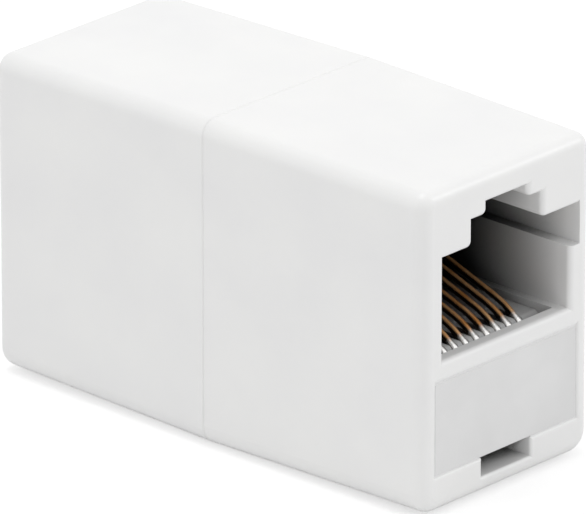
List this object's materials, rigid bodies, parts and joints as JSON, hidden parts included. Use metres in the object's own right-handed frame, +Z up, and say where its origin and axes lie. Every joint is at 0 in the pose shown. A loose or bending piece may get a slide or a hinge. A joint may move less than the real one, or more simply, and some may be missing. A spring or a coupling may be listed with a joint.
{
  "type": "modular jack inline coupler",
  "caption": "Straight inline coupler that joins two latched modular plugs end to end: two snapped white half shells, contact carriers, spring wires and a small circuit board.",
  "frame": {"origin": "bottom centre of the coupler's box, under the seam of the two halves", "axes": "+X along the coupler towards the front jack, +Y across towards that jack's contact 1, +Z up towards the latch side"},
  "size_m": [0.0374, 0.0166, 0.0224],
  "materials": {
    "shell_plastic": "white moulded ABS, satin with rounded edges",
    "carrier_plastic": "off-white moulded polyester insert, finely matt",
    "contact_metal": "thin gold flash over bronze spring wire",
    "board_laminate": "glass-epoxy board with green solder resist",
    "solder": "bright tin solder"
  },
  "bodies": {
    "root": {"front_shell": "shell_plastic", "front_contact_carrier": "carrier_plastic", "front_contact_1": "contact_metal", "front_contact_2": "contact_metal", "front_contact_3": "contact_metal", "front_contact_4": "contact_metal", "front_contact_5": "contact_metal", "front_contact_6": "contact_metal", "front_contact_7": "contact_metal", "front_contact_8": "contact_metal", "front_solder_joints": "solder", "rear_shell": "shell_plastic", "rear_contact_carrier": "carrier_plastic", "rear_contact_1": "contact_metal", "rear_contact_2": "contact_metal", "rear_contact_3": "contact_metal", "rear_contact_4": "contact_metal", "rear_contact_5": "contact_metal", "rear_contact_6": "contact_metal", "rear_contact_7": "contact_metal", "rear_contact_8": "contact_metal", "rear_solder_joints": "solder", "circuit_board": "board_laminate"}
  },
  "joints": []
}
